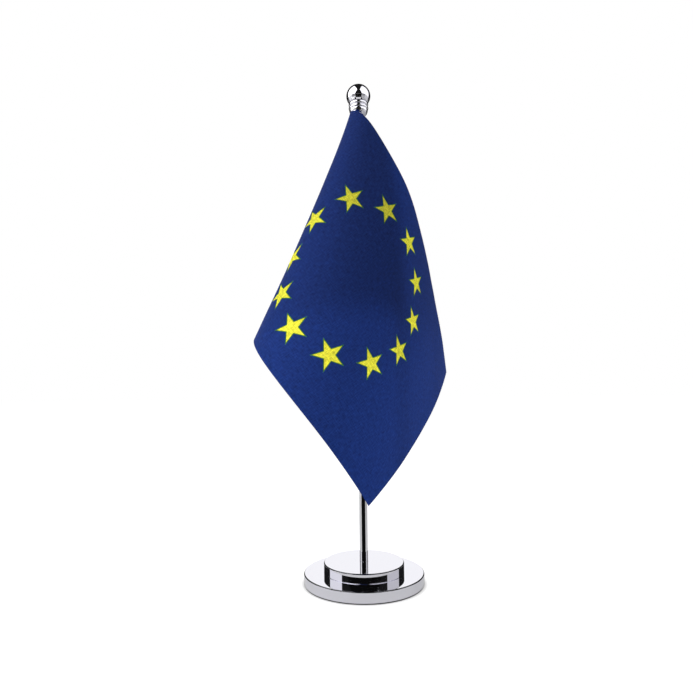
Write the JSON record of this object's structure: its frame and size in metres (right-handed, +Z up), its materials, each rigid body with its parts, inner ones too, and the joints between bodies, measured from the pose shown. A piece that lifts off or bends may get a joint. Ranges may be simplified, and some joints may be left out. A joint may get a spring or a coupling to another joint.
{
  "type": "desk flag stand",
  "caption": "Free-standing desk flag stand: stacked polished discs, thin pole with ball finial, and a small draped cloth flag with a ring of stars.",
  "frame": {"origin": "centre of the foam pad's underside, on the table and on the pole's axis", "axes": "+Z up along the pole; -Y towards the front, where the folded flag is seen; +X to the right of that view"},
  "size_m": [0.1244, 0.1162, 0.3162],
  "materials": {
    "polished_chrome": "mirror polished",
    "polished_steel": "mirror polished tube",
    "brass": "turned",
    "zinc_steel": "zinc plated",
    "black_foam": "matt closed-cell foam",
    "blue_cloth": "woven polyester, printed",
    "sewing_thread": "twisted polyester thread"
  },
  "bodies": {
    "stand": {"base_disc": "polished_chrome", "riser_disc": "polished_chrome", "base_pad": "black_foam", "base_screw": "zinc_steel", "flat_washer": "zinc_steel", "lock_washer": "zinc_steel", "pole_tube": "polished_steel", "pole_foot_plug": "brass", "pole_top_plug": "brass"},
    "finial_collar": {"finial_cup": "polished_chrome", "bead_ring_lower": "polished_chrome", "bead_ring_upper": "polished_chrome"},
    "finial_knob": {"finial_ball": "polished_chrome", "finial_stud": "zinc_steel"},
    "flag": {"flag_panel": "blue_cloth", "flag_sleeve": "blue_cloth", "sleeve_cap": "blue_cloth"}
  },
  "joints": [
    {"name": "flag_swivel", "type": "hinge", "parent": "stand", "child": "flag", "pos_m": [0, 0, 0.2], "axis": [0, 0, 1], "continuous": true},
    {"name": "finial_rise", "type": "slide", "parent": "stand", "child": "finial_collar", "axis": [0, 0, 1], "range_m": [0, 0.004]},
    {"name": "finial_turn", "type": "hinge", "parent": "finial_collar", "child": "finial_knob", "pos_m": [0, 0, 0.3], "axis": [0, 0, 1], "range_deg": [0, 2880]}
  ],
  "couplings": [
    {"joint": "finial_turn", "follows": "finial_rise", "rad_per_m": 12566}
  ]
}
